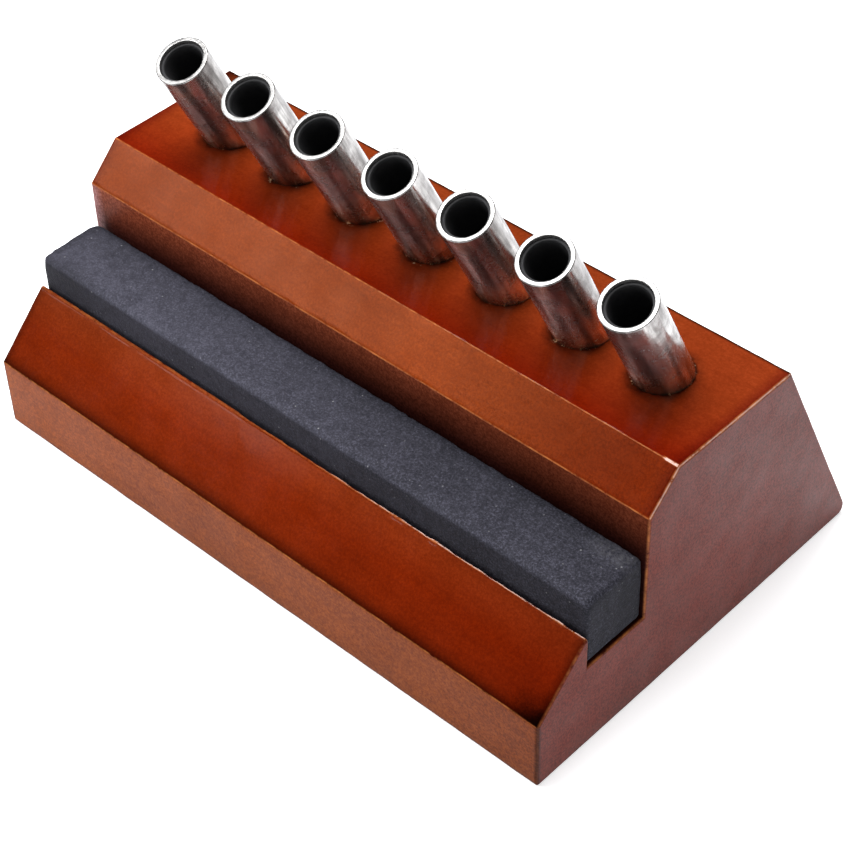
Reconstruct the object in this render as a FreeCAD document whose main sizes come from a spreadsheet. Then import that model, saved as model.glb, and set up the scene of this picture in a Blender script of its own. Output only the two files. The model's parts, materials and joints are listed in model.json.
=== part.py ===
"""Pick holder: a stepped wooden block with seven leaning steel tubes and a loose stone bar.

X runs along the block, the low front faces -Y, and +Z is up.
The origin is in the middle of the block's underside.
"""
import FreeCAD, Part
import os
import Sketcher

TUBE_COUNT = 7
ROW_HALF_STEPS = (TUBE_COUNT - 1) // 2
FULL_TURN = 360.0
TINY = 1e-6
# Cubic millimetres by which the seven holes together may differ from seven times the first.
VOLUME_SLACK = 1.0
# Tubes lean about X. Any start angle but zero keeps that axis until the sheet sets the real lean.
LEAN_AXIS = FreeCAD.Vector(1, 0, 0)
START_ANGLE = 1.0

# Driving dimensions, in millimetres and degrees.
DIMENSIONS = [
    ("block_length", 157.0, "along X"),
    ("block_depth", 101.5, "front to back, at the underside"),
    ("front_height", 17.5, "upright front face"),
    ("lip_height", 31.7, "top of the ramp, at the groove's front lip"),
    ("lip_setback", 14.3, "front face to the groove"),
    ("groove_width", 16.6, "front lip to the groove's back wall"),
    ("groove_floor", 22.7, "floor of the groove above the underside"),
    ("wall_height", 49.3, "top of the groove's back wall"),
    ("top_setback", 39.1, "front face to the front edge of the top"),
    ("top_height", 57.1, "flat top above the underside"),
    ("edge_radius", 0.6, "eased edges of the block"),
    ("heel_radius", 2.2, "rounder long edge at the foot of the back"),
    ("tube_lean", 26.0, "tubes and back face, from upright"),
    ("tube_pitch", 20.0, "spacing of the tubes along X"),
    ("tube_setback", 57.4, "front face to the tube axes, at the top"),
    ("tube_radius", 6.0, "outside of a tube"),
    ("tube_wall", 1.0, "wall of a tube"),
    ("tube_standing", 27.5, "tube above the top face, along its axis"),
    ("hole_depth", 32.5, "blind hole below the top face, along its axis"),
    ("drill_run_in", 8.0, "cutter above the top face, to clear the slanted mouth"),
    ("rim_break", 0.15, "broken edges at a tube's ends"),
    ("sleeve_wall", 0.6, "wall of a lining sleeve"),
    ("sleeve_recess", 0.8, "sleeve below the tube's rim"),
    ("bar_length", 155.6, "stone bar along X"),
    ("bar_width", 16.2, "stone bar, front to back"),
    ("bar_height", 16.3, "stone bar above the groove's floor"),
    ("bar_bevel", 0.7, "worn upper edges of the bar"),
    ("bar_foot_bevel", 0.3, "lower edges of the bar"),
]


def make_sheet(document):
    """Spreadsheet with one named row for each driving dimension."""
    sheet = document.addObject("Spreadsheet::Sheet", "Dimensions")
    for row, (name, value, note) in enumerate(DIMENSIONS, start=1):
        sheet.set(f"A{row}", name)
        sheet.set(f"B{row}", str(value))
        sheet.setAlias(f"B{row}", name)
        sheet.set(f"C{row}", note)
    document.recompute()
    return sheet


def make_body(document, name):
    """Empty body whose label is its node name."""
    body = document.addObject("PartDesign::Body", name)
    body.Label = name
    return body


def origin_feature(body, role):
    """One of the body's own origin planes or axes."""
    return next(item for item in body.Origin.OriginFeatures if item.Role == role)


def make_sketch(body, name, plane_role):
    """Sketch on one of the body's own origin planes."""
    sketch = body.newObject("Sketcher::SketchObject", name)
    sketch.AttachmentSupport = [(origin_feature(body, plane_role), "")]
    sketch.MapMode = "FlatFace"
    return sketch


def draw_outline(sketch, corners):
    """Closed outline of straight lines; each corner is a pair of sheet expressions."""
    points = []
    for across, along in corners:
        x_value = float(sketch.evalExpression(across))
        y_value = float(sketch.evalExpression(along))
        points.append(FreeCAD.Vector(x_value, y_value, 0))
    count = len(points)
    for index in range(count):
        line = Part.LineSegment(points[index], points[(index + 1) % count])
        sketch.addGeometry(line, False)
    for index in range(count):
        following = (index + 1) % count
        sketch.addConstraint(Sketcher.Constraint("Coincident", index, 2, following, 1))
    for index, (across, along) in enumerate(corners):
        for kind, expression, value in (
            ("DistanceX", across, points[index].x),
            ("DistanceY", along, points[index].y),
        ):
            constraint = sketch.addConstraint(Sketcher.Constraint(kind, -1, 1, index, 1, value))
            sketch.setExpression(f"Constraints[{constraint}]", expression)


def add_revolved(body, kind, name, sketch):
    """Full turn of a sketch about its own upright axis, as a Revolution or a Groove."""
    feature = body.newObject(f"PartDesign::{kind}", name)
    feature.Profile = sketch
    feature.ReferenceAxis = (sketch, ["V_Axis"])
    feature.Angle = FULL_TURN
    return feature


def runs_at(edge, height):
    """True for an edge along X at a given height."""
    ends = [vertex.Point for vertex in edge.Vertexes]
    along_x = abs(ends[0].x - ends[1].x) > TINY
    return along_x and all(abs(end.z - height) < TINY for end in ends)


def heel_edge(shape):
    """Name of the long lower back edge."""
    for index, edge in enumerate(shape.Edges, start=1):
        if runs_at(edge, 0) and edge.CenterOfMass.y > 0:
            return f"Edge{index}"
    raise RuntimeError("the block has no lower back edge")


def is_smooth(shape, edge):
    """True where the two faces that meet at an edge run on into each other."""
    middle = edge.valueAt((edge.FirstParameter + edge.LastParameter) / 2)
    faces = shape.ancestorsOfType(edge, Part.Face)
    normals = [face.normalAt(*face.Surface.parameter(middle)) for face in faces]
    return normals[0].getAngle(normals[1]) < TINY


def convex_edges(shape, floor_height):
    """Names of all sharp edges except the two long inner corners of the groove."""
    names = []
    for index, edge in enumerate(shape.Edges, start=1):
        if not (runs_at(edge, floor_height) or is_smooth(shape, edge)):
            names.append(f"Edge{index}")
    return names


def make_block(document, sheet):
    """Stepped wooden block: ramp and groove in front, flat top with slanted blind holes."""
    body = make_body(document, "stand_block")
    profile = make_sketch(body, "block_profile", "YZ_Plane")
    front = "-Dimensions.block_depth / 2"
    back_wall = f"{front} + Dimensions.lip_setback + Dimensions.groove_width"
    back_top = "Dimensions.block_depth / 2 - Dimensions.top_height * tan(Dimensions.tube_lean * 1 deg)"
    draw_outline(profile, [
        (front, "0"),
        ("Dimensions.block_depth / 2", "0"),
        (back_top, "Dimensions.top_height"),
        (f"{front} + Dimensions.top_setback", "Dimensions.top_height"),
        (back_wall, "Dimensions.wall_height"),
        (back_wall, "Dimensions.groove_floor"),
        (f"{front} + Dimensions.lip_setback", "Dimensions.groove_floor"),
        (f"{front} + Dimensions.lip_setback", "Dimensions.lip_height"),
        (front, "Dimensions.front_height"),
    ])
    pad = body.newObject("PartDesign::Pad", "block_length")
    pad.Profile = profile
    pad.SideType = "Symmetric"
    pad.setExpression("Length", "Dimensions.block_length")
    document.recompute()

    heel = body.newObject("PartDesign::Fillet", "rounded_heel")
    heel.Base = (pad, [heel_edge(pad.Shape)])
    heel.setExpression("Radius", "Dimensions.heel_radius")
    document.recompute()

    rounding = body.newObject("PartDesign::Fillet", "eased_edges")
    rounding.Base = (heel, convex_edges(heel.Shape, sheet.groove_floor))
    rounding.setExpression("Radius", "Dimensions.edge_radius")
    document.recompute()
    solid_volume = rounding.Shape.Volume

    # The hole's sketch stands on the first tube's axis, where that axis meets the top face.
    hole_sketch = make_sketch(body, "hole_section", "YZ_Plane")
    hole_sketch.setExpression("AttachmentOffset.Base.x", f"{front} + Dimensions.tube_setback")
    hole_sketch.setExpression("AttachmentOffset.Base.y", "Dimensions.top_height")
    hole_sketch.setExpression("AttachmentOffset.Base.z", f"-{ROW_HALF_STEPS} * Dimensions.tube_pitch")
    hole_sketch.setExpression("AttachmentOffset.Rotation.Angle", "Dimensions.tube_lean")
    draw_outline(hole_sketch, [
        ("0", "-Dimensions.hole_depth"),
        ("Dimensions.tube_radius", "-Dimensions.hole_depth"),
        ("Dimensions.tube_radius", "Dimensions.drill_run_in"),
        ("0", "Dimensions.drill_run_in"),
    ])
    hole = add_revolved(body, "Groove", "first_hole", hole_sketch)
    document.recompute()
    one_hole_volume = solid_volume - hole.Shape.Volume

    row = body.newObject("PartDesign::LinearPattern", "hole_row")
    row.Originals = [hole]
    row.Direction = (origin_feature(body, "X_Axis"), [""])
    row.Occurrences = TUBE_COUNT
    row.setExpression("Length", f"{TUBE_COUNT - 1} * Dimensions.tube_pitch")
    body.Tip = row
    document.recompute()
    removed = solid_volume - row.Shape.Volume
    if one_hole_volume <= 0 or abs(removed - TUBE_COUNT * one_hole_volume) > VOLUME_SLACK:
        raise RuntimeError("the tube holes did not all cut the block")
    return body


def make_ring(document, name, index, sizes):
    """Round sleeve on one tube axis, standing on the floor of its hole.

    sizes holds sheet expressions: outside radius, wall, length and the break of the end edges.
    """
    outside, wall, length, edge_break = sizes
    inside = f"{outside} - {wall}"
    body = make_body(document, name)
    section = make_sketch(body, f"{name}_section", "XZ_Plane")
    draw_outline(section, [
        (f"{inside} + {edge_break}", "0"),
        (f"{outside} - {edge_break}", "0"),
        (outside, edge_break),
        (outside, f"{length} - {edge_break}"),
        (f"{outside} - {edge_break}", length),
        (f"{inside} + {edge_break}", length),
        (inside, f"{length} - {edge_break}"),
        (inside, edge_break),
    ])
    body.Tip = add_revolved(body, "Revolution", f"{name}_turned", section)
    body.Placement.Rotation = FreeCAD.Rotation(LEAN_AXIS, START_ANGLE)
    lean = "Dimensions.tube_lean * 1 deg"
    body.setExpression("Placement.Rotation.Angle", lean)
    body.setExpression("Placement.Base.x", f"{index - ROW_HALF_STEPS} * Dimensions.tube_pitch")
    body.setExpression(
        "Placement.Base.y",
        f"-Dimensions.block_depth / 2 + Dimensions.tube_setback + Dimensions.hole_depth * sin({lean})",
    )
    body.setExpression("Placement.Base.z", f"Dimensions.top_height - Dimensions.hole_depth * cos({lean})")
    return body


def make_tube(document, index):
    """Steel tube with lightly broken rims."""
    return make_ring(document, f"tube_{index + 1}", index, (
        "Dimensions.tube_radius",
        "Dimensions.tube_wall",
        "(Dimensions.hole_depth + Dimensions.tube_standing)",
        "Dimensions.rim_break",
    ))


def make_sleeve(document, index):
    """Thin black lining sleeve, a little shorter than its tube."""
    return make_ring(document, f"sleeve_{index + 1}", index, (
        "(Dimensions.tube_radius - Dimensions.tube_wall)",
        "Dimensions.sleeve_wall",
        "(Dimensions.hole_depth + Dimensions.tube_standing - Dimensions.sleeve_recess)",
        "Dimensions.rim_break",
    ))


def make_bar(document):
    """Loose stone bar with worn upper edges, lying on the groove's floor."""
    body = make_body(document, "stone_bar")
    section = make_sketch(body, "bar_section", "YZ_Plane")
    half_width = "Dimensions.bar_width / 2"
    draw_outline(section, [
        (f"-{half_width} + Dimensions.bar_foot_bevel", "0"),
        (f"{half_width} - Dimensions.bar_foot_bevel", "0"),
        (half_width, "Dimensions.bar_foot_bevel"),
        (half_width, "Dimensions.bar_height - Dimensions.bar_bevel"),
        (f"{half_width} - Dimensions.bar_bevel", "Dimensions.bar_height"),
        (f"-{half_width} + Dimensions.bar_bevel", "Dimensions.bar_height"),
        (f"-{half_width}", "Dimensions.bar_height - Dimensions.bar_bevel"),
        (f"-{half_width}", "Dimensions.bar_foot_bevel"),
    ])
    pad = body.newObject("PartDesign::Pad", "bar_length")
    pad.Profile = section
    pad.SideType = "Symmetric"
    pad.setExpression("Length", "Dimensions.bar_length")
    document.recompute()

    # The two upper end edges are bevelled like the long ones.
    top_ends = []
    for index, edge in enumerate(pad.Shape.Edges, start=1):
        ends = [vertex.Point for vertex in edge.Vertexes]
        level_with_top = all(abs(end.z - pad.Shape.BoundBox.ZMax) < TINY for end in ends)
        if level_with_top and abs(ends[0].x - ends[1].x) < TINY:
            top_ends.append(f"Edge{index}")
    bevel = body.newObject("PartDesign::Chamfer", "end_bevels")
    bevel.Base = (pad, top_ends)
    bevel.setExpression("Size", "Dimensions.bar_bevel")
    body.Tip = bevel
    body.setExpression(
        "Placement.Base.y",
        "-Dimensions.block_depth / 2 + Dimensions.lip_setback + Dimensions.groove_width / 2",
    )
    body.setExpression("Placement.Base.z", "Dimensions.groove_floor")
    return body


def check_and_export(document, bodies):
    """Stop on any failed feature, then write one STEP file per piece."""
    document.recompute()
    for item in document.Objects:
        if "Invalid" in item.State or "Error" in item.State:
            raise RuntimeError(f"{item.Label} failed: {item.State}")
    for body in bodies:
        if body.Shape.isNull() or not body.Shape.isValid() or len(body.Shape.Solids) != 1:
            raise RuntimeError(f"{body.Label} is not one valid solid")
    os.makedirs("parts", exist_ok=True)
    for body in bodies:
        body.Shape.exportStep(f"parts/{body.Label}.step")


def main():
    document = FreeCAD.newDocument("pick_holder")
    sheet = make_sheet(document)
    bodies = [make_block(document, sheet)]
    for index in range(TUBE_COUNT):
        bodies.append(make_tube(document, index))
        bodies.append(make_sleeve(document, index))
    bodies.append(make_bar(document))
    check_and_export(document, bodies)


main()
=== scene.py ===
import json
import math

import bmesh
import bpy
import numpy as np
from mathutils import Matrix, Vector, noise


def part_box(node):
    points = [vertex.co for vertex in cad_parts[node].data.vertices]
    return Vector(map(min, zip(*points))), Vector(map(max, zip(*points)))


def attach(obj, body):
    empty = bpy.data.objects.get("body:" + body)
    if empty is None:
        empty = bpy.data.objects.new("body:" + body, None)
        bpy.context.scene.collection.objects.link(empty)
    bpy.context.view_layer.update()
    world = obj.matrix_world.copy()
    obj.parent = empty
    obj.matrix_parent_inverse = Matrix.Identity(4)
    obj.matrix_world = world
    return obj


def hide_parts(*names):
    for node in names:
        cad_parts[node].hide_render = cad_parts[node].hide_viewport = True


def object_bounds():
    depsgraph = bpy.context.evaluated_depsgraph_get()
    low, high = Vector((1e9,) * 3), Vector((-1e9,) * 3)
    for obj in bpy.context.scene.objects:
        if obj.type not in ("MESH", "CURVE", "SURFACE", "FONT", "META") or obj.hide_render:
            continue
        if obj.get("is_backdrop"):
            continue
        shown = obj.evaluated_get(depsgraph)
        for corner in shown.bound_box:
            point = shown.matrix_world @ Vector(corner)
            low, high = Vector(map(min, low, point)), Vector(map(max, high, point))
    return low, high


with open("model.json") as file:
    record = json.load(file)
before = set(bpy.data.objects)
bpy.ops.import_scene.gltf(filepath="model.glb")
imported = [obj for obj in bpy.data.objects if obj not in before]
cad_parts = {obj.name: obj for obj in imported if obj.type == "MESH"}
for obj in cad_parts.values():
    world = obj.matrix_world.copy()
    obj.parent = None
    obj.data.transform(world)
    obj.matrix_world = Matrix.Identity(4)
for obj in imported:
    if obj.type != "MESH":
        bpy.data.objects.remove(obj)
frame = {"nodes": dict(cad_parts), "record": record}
start_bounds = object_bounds()

MM = 0.001
rng = np.random.default_rng(20260)

# sides of the block's outline, in order from the underside up the back and down the front
UNDERSIDE, BACK, TOP, SLOPE, WALL, FLOOR, LIP, RAMP, FRONT = range(9)
SIDES = 9

WHITE = (1.0, 1.0, 1.0)
# painted contact shadow at the tubes' feet
PAINTED_FOOT_SHADOW = (0.016, 0.0035, 0.0015)
TORN_LACQUER = (0.46, 0.30, 0.19)
WORN_WOOD = (0.62, 0.21, 0.055)
BARE_WOOD = (0.70, 0.48, 0.42)
WARM_HAZE = (1.0, 0.32, 0.12)
# painted dark contact shade on the rims of the tube holes
SOCKET_PAINTED_SHADE = (0.03, 0.004, 0.001, 0.5)
STONE_DARK, STONE_MID = (0.032, 0.0315, 0.041), (0.047, 0.0462, 0.060)
STONE_CRUMB, STONE_PIT, STONE_HOLLOW = (0.115, 0.113, 0.148), (0.009, 0.009, 0.013), (0.015, 0.015, 0.021)
STONE_GRAIN, STONE_RUBBED = (0.27, 0.27, 0.28), (0.17, 0.168, 0.18)
STEEL_DULL, STEEL_BRIGHT = (0.20, 0.19, 0.185), (0.42, 0.41, 0.40)
STEEL_SCORE, STEEL_STREAK = (0.15, 0.14, 0.135), (0.60, 0.58, 0.56)
TURNED_DULL, TURNED_BRIGHT, BORE_DARK = (0.31, 0.305, 0.30), (0.43, 0.425, 0.42), (0.03, 0.03, 0.03)


def plain(value):
    """Nested plain lists, for a JSON file."""
    if isinstance(value, dict):
        return {str(k): plain(v) for k, v in value.items()}
    if hasattr(value, "__len__") and not isinstance(value, str):
        return [plain(v) for v in value]
    return value if isinstance(value, str) else float(value)


def clamp(value):
    return min(1.0, max(0.0, value))


def ease(value):
    """Smooth step of a number that is clamped to 0 to 1."""
    t = clamp(value)
    return t * t * (3 - 2 * t)


def three_tones(first, middle, last, t):
    """Colour at t on a run from first through middle to last."""
    first, middle, last = np.array(first), np.array(middle), np.array(last)
    if t < 0.5:
        return first * (1 - 2 * t) + middle * 2 * t
    return middle * (2 - 2 * t) + last * (2 * t - 1)


def wave(x, y, z, size, seed=0.0):
    """Smooth noise from -1 to 1 with features about `size` metres across."""
    return noise.noise(Vector((x / size + seed, y / size - seed * 1.7, z / size + seed * 0.3)))


# ---------------------------------------------------------------- materials

class Nodes:
    """Small helper that builds a node tree."""

    def __init__(self, name):
        self.material = bpy.data.materials.new(name)
        self.material.use_nodes = True
        self.tree = self.material.node_tree
        self.tree.nodes.clear()
        self.out = self.tree.nodes.new("ShaderNodeOutputMaterial")
        self.shader = self.tree.nodes.new("ShaderNodeBsdfPrincipled")
        self.tree.links.new(self.shader.outputs[0], self.out.inputs[0])

    def add(self, kind, **settings):
        node = self.tree.nodes.new(kind)
        for key, value in settings.items():
            if hasattr(node, key) and key not in node.inputs:
                setattr(node, key, value)
            else:
                node.inputs[key.replace("_", " ")].default_value = value
        return node

    def link(self, a, b):
        self.tree.links.new(a, b)

    def point(self, scale=(1, 1, 1)):
        """Object coordinates, scaled."""
        co = self.add("ShaderNodeTexCoord")
        mapping = self.add("ShaderNodeMapping")
        mapping.inputs["Scale"].default_value = scale
        self.link(co.outputs["Object"], mapping.inputs["Vector"])
        return mapping.outputs[0]

    def noise(self, vector, scale, detail=3.0, rough=0.55, distortion=0.0):
        node = self.add("ShaderNodeTexNoise")
        node.inputs["Scale"].default_value = scale
        node.inputs["Detail"].default_value = detail
        node.inputs["Roughness"].default_value = rough
        node.inputs["Distortion"].default_value = distortion
        self.link(vector, node.inputs["Vector"])
        return node.outputs["Fac"]

    def cells(self, vector, scale):
        """Distance to the nearest point of a scatter."""
        node = self.add("ShaderNodeTexVoronoi")
        node.inputs["Scale"].default_value = scale
        self.link(vector, node.inputs["Vector"])
        return node.outputs["Distance"]

    def split(self, vector):
        """The x, y and z of a vector."""
        node = self.add("ShaderNodeSeparateXYZ")
        self.link(vector, node.inputs[0])
        return node.outputs[0], node.outputs[1], node.outputs[2]

    def tint(self, colour, factors):
        return self.mix(1.0, colour, factors, "MULTIPLY")

    def fit(self, value, a, b, c=0.0, d=1.0, smooth=False):
        node = self.add("ShaderNodeMapRange")
        if smooth:
            node.interpolation_type = "SMOOTHSTEP"
        node.inputs["From Min"].default_value = a
        node.inputs["From Max"].default_value = b
        node.inputs["To Min"].default_value = c
        node.inputs["To Max"].default_value = d
        self.link(value, node.inputs["Value"])
        return node.outputs[0]

    def math(self, operation, a, b=None, clamp=False):
        node = self.add("ShaderNodeMath")
        node.operation = operation
        node.use_clamp = clamp
        for i, v in enumerate((a, b)):
            if v is None:
                continue
            if isinstance(v, (int, float)):
                node.inputs[i].default_value = v
            else:
                self.link(v, node.inputs[i])
        return node.outputs[0]

    def mix(self, fac, a, b, blend="MIX"):
        node = self.add("ShaderNodeMix")
        node.data_type = "RGBA"
        node.blend_type = blend
        for socket, v in ((node.inputs[0], fac), (node.inputs[6], a), (node.inputs[7], b)):
            if isinstance(v, (int, float)):
                socket.default_value = v
            elif isinstance(v, tuple):
                socket.default_value = (*v, 1.0) if len(v) == 3 else v
            else:
                self.link(v, socket)
        return node.outputs[2]

    def attribute(self, name):
        node = self.add("ShaderNodeAttribute")
        node.attribute_name = name
        return node

    def bump(self, height, distance, strength=1.0, after=None):
        node = self.add("ShaderNodeBump")
        node.inputs["Distance"].default_value = distance
        node.inputs["Strength"].default_value = strength
        self.link(height, node.inputs["Height"])
        if after is not None:
            self.link(after, node.inputs["Normal"])
        return node.outputs[0]

    def put(self, name, value):
        socket = self.shader.inputs[name]
        if isinstance(value, (int, float, tuple)):
            socket.default_value = value
        else:
            self.link(value, socket)


def tube_feet(m, p, colour):
    """Painted contact shadow, heavier on the left side, and torn pale lacquer on the top face around each
    tube.
    """
    x, y, z = m.split(p)
    pitch = (tubes[2]["origin"] - tubes[1]["origin"]).x
    radius = tubes[1]["radius"]
    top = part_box("stand_block")[1].z
    row = tubes[1]["origin"].y + axis.y * (top - tubes[1]["origin"].z) / axis.z
    wrapped = m.add("ShaderNodeMath")
    wrapped.operation = "WRAP"
    m.link(x, wrapped.inputs[0])
    wrapped.inputs[1].default_value = pitch / 2
    wrapped.inputs[2].default_value = -pitch / 2
    sideways = wrapped.outputs[0]
    back = m.math("MULTIPLY", m.math("SUBTRACT", y, row), axis.z)
    squares = m.math("ADD", m.math("POWER", sideways, 2.0), m.math("POWER", back, 2.0))
    away = m.math("SQRT", squares)
    ragged = m.math("MULTIPLY", m.math("SUBTRACT", m.noise(p, 420, 4, 0.7), 0.5), 2.2 * MM)
    gap = m.math("ADD", m.math("SUBTRACT", away, radius), ragged)
    row_end = 3.5 * pitch
    upper = m.math("MULTIPLY", m.fit(z, top - 0.9 * MM, top - 0.5 * MM),
                   m.fit(m.math("ABSOLUTE", x), row_end + 0.2 * MM, row_end - 0.2 * MM))
    left = m.fit(sideways, radius, -radius, 0.35, 1.0)
    # painted contact shadow round each tube, heavier on its left side
    painted_shadow = m.math("MULTIPLY", m.fit(gap, 2.6 * MM, 0.0, 0.0, 0.85, True), m.math("MULTIPLY", upper, left))
    colour = m.mix(painted_shadow, colour, PAINTED_FOOT_SHADOW)
    close = m.fit(m.math("SUBTRACT", away, radius), 0.8 * MM, 0.3 * MM)
    torn = m.math("MULTIPLY", close, m.fit(m.noise(p, 430, 4, 0.8), 0.59, 0.62))
    return m.mix(m.math("MULTIPLY", torn, upper), colour, TORN_LACQUER)


def dark_edge_lines(m, p):
    """Dark line where the block meets the table and down its upright front corners."""
    low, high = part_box("stand_block")
    x, y, z = m.split(p)
    broken = m.math("MULTIPLY", m.math("SUBTRACT", m.noise(p, 300, 3), 0.5), 0.8 * MM)
    foot = m.fit(m.math("ADD", z, broken), 1.1 * MM, 0.2 * MM)
    across = m.math("ADD", m.math("ABSOLUTE", x), broken)
    near = m.fit(across, high.x - 1.1 * MM, high.x - 0.4 * MM)
    front = m.fit(m.math("ADD", y, broken), low.y + 1.1 * MM, low.y + 0.4 * MM)
    return m.math("MULTIPLY", m.math("MAXIMUM", foot, m.math("MULTIPLY", near, front)), 0.8)


def end_painted_sheen(m, p):
    """Painted grey sheen of the sawn ends, growing upwards and backwards, and a painted ruddier tone low
    down and towards the front, where the sheen fades.
    """
    x, y, z = m.split(p)
    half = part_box("stand_block")[1].x
    ends = m.fit(m.math("ABSOLUTE", x), half - 0.3 * MM, half - 0.1 * MM)
    rising = m.fit(m.math("ADD", y, z), 18 * MM, 52 * MM, 0.0, 1.0, True)
    painted_sheen = m.math("ADD", 1.0, m.math("MULTIPLY", ends, m.fit(rising, 0.0, 1.0, -0.13, 0.24)))
    return painted_sheen, m.math("MULTIPLY", ends, m.math("SUBTRACT", 1.0, rising))


def wood_material():
    """Stained and lacquered wood. Attributes: stain (colour, with painted light and shade), finish (x
    gloss, y edge wear, z veil).
    """
    m = Nodes("lacquered_wood")
    dye = m.attribute("stain")
    stain, chalk = dye.outputs["Color"], dye.outputs["Alpha"]
    gloss, wear, veil = m.split(m.attribute("finish").outputs["Vector"])
    p = m.point()
    along = m.point((0.16, 1.0, 1.0))
    cloud = m.noise(p, 46, 3, 0.6)
    speck = m.noise(p, 1900, 3, 0.75)
    grain = m.noise(along, 620, 4, 0.65, 0.4)
    deeper, lighter = m.tint(stain, (0.84, 0.80, 0.78)), m.tint(stain, (1.10, 1.13, 1.2))
    colour = m.mix(m.fit(cloud, 0.3, 0.72), deeper, lighter)
    colour = m.mix(m.fit(grain, 0.42, 0.75, 0.0, 0.42), colour, m.tint(colour, (0.62, 0.5, 0.45)))
    matt = m.fit(gloss, 0.95, 0.2, 0.3, 1.0)
    light_speck = m.math("MULTIPLY", matt, m.fit(speck, 0.5, 0.64))
    colour = m.mix(light_speck, colour, m.tint(colour, (1.5, 1.75, 2.0)))
    dark_speck = m.math("MULTIPLY", matt, m.fit(speck, 0.5, 0.36))
    colour = m.mix(dark_speck, colour, m.tint(colour, (0.58, 0.52, 0.52)))
    colour = tube_feet(m, p, colour)
    # darker line along the block's foot and up its upright front corners
    colour = m.mix(dark_edge_lines(m, p), colour, m.tint(colour, (0.16, 0.13, 0.16)))
    # painted sheen on the sawn ends, and a painted ruddier tone below it
    painted_sheen, painted_ruddy = end_painted_sheen(m, p)
    colour = m.mix(painted_ruddy, colour, m.tint(colour, (1.08, 0.96, 0.84)))
    worn = m.math("MULTIPLY", wear, m.fit(m.noise(p, 420, 4, 0.7), 0.34, 0.64), True)
    colour = m.mix(worn, colour, WORN_WOOD)
    pale = m.math("MULTIPLY", m.fit(wear, 0.62, 0.95), m.fit(m.noise(p, 500, 4, 0.8), 0.39, 0.5), True)
    m.put("Base Color", m.mix(pale, colour, BARE_WOOD))
    rough = m.fit(gloss, 0.0, 1.0, 0.46, 0.2)
    m.put("Roughness", m.math("ADD", rough, m.fit(m.noise(p, 130, 3), 0.3, 0.7, -0.05, 0.07)))
    m.put("Specular IOR Level", m.math("MULTIPLY", m.fit(veil, 0.0, 1.0, 0.0, 0.5), painted_sheen))
    m.put("Specular Tint", m.mix(chalk, WARM_HAZE, WHITE))
    m.put("Coat Weight", m.math("MULTIPLY", m.fit(gloss, 0.8, 1.0), 0.28))
    m.put("Coat Roughness", m.fit(m.noise(p, 90, 2), 0.3, 0.7, 0.07, 0.16))
    m.put("Coat IOR", 1.5)
    peel = m.bump(m.noise(p, 700, 2, 0.5), 0.04 * MM, 0.35)
    pores = m.bump(grain, 0.05 * MM, 0.35, peel)
    m.put("Normal", m.bump(m.noise(p, 120, 2, 0.5), 0.16 * MM, 0.2, pores))
    m.put("Coat Normal", m.bump(m.noise(p, 260, 2, 0.5), 0.08 * MM, 0.25))
    return m.material


def steel_material():
    """Drawn steel tube: soft blotches, lengthwise marks and a painted warm reflection of the wood at its
    foot.
    """
    m = Nodes("tube_steel")
    co = m.add("ShaderNodeTexCoord").outputs["Object"]
    tilt = m.add("ShaderNodeMapping")
    tilt.vector_type = "TEXTURE"
    tilt.inputs["Rotation"].default_value = (lean, 0, 0)
    m.link(co, tilt.inputs["Vector"])
    upright = tilt.outputs[0]
    stretch = m.add("ShaderNodeMapping")
    stretch.inputs["Scale"].default_value = (1.0, 1.0, 0.10)
    m.link(upright, stretch.inputs["Vector"])
    lines = m.noise(stretch.outputs[0], 800, 4, 0.75)
    blot = m.noise(upright, 230, 4, 0.62, 0.5)
    fine = m.noise(upright, 1500, 3, 0.7)
    turned = m.attribute("turned").outputs["Fac"]
    colour = m.mix(m.fit(blot, 0.35, 0.68), STEEL_DULL, STEEL_BRIGHT)
    colour = m.mix(m.fit(lines, 0.5, 0.66, 0.0, 0.7), colour, STEEL_SCORE)
    colour = m.mix(m.fit(lines, 0.46, 0.32, 0.0, 0.6), colour, STEEL_STREAK)
    bands = m.fit(m.noise(stretch.outputs[0], 330, 2, 0.5), 0.4, 0.6)
    colour = m.tint(colour, m.mix(bands, (0.5, 0.48, 0.47), (1.4, 1.4, 1.4)))
    # painted warm reflection of the wood, growing towards the tube's foot
    along = m.add("ShaderNodeVectorMath", operation="DOT_PRODUCT")
    m.link(co, along.inputs[0])
    along.inputs[1].default_value = tuple(axis)
    origin = tubes[1]["origin"]
    rim = Vector((0, origin.y, origin.z)).dot(axis) + tubes[1]["tube"][1]
    low = m.fit(along.outputs["Value"], rim - 15 * MM, rim - 27 * MM, 0.0, 1.0, True)
    colour = m.mix(low, colour, m.tint(colour, (2.4, 1.6, 1.05)))
    inner = m.math("MULTIPLY", m.fit(turned, 0.3, 0.5), m.fit(turned, 0.9, 0.7))
    colour = m.mix(turned, colour, m.mix(m.fit(fine, 0.4, 0.6), TURNED_DULL, TURNED_BRIGHT))
    m.put("Base Color", m.mix(m.math("MULTIPLY", inner, 0.6), colour, BORE_DARK))
    m.put("Metallic", m.math("SUBTRACT", 0.9, m.math("MULTIPLY", inner, 0.55)))
    rough = m.math("ADD", m.fit(blot, 0.38, 0.62, 0.28, 0.14), m.fit(fine, 0.3, 0.7, -0.03, 0.05))
    m.put("Roughness", m.math("ADD", rough, m.fit(turned, 0.0, 1.0, 0.0, 0.13)))
    dents = m.bump(m.noise(upright, 260, 2), 0.06 * MM, 0.2)
    m.put("Normal", m.bump(lines, 0.07 * MM, 0.35, m.bump(fine, 0.02 * MM, 0.2, dents)))
    return m.material


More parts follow.
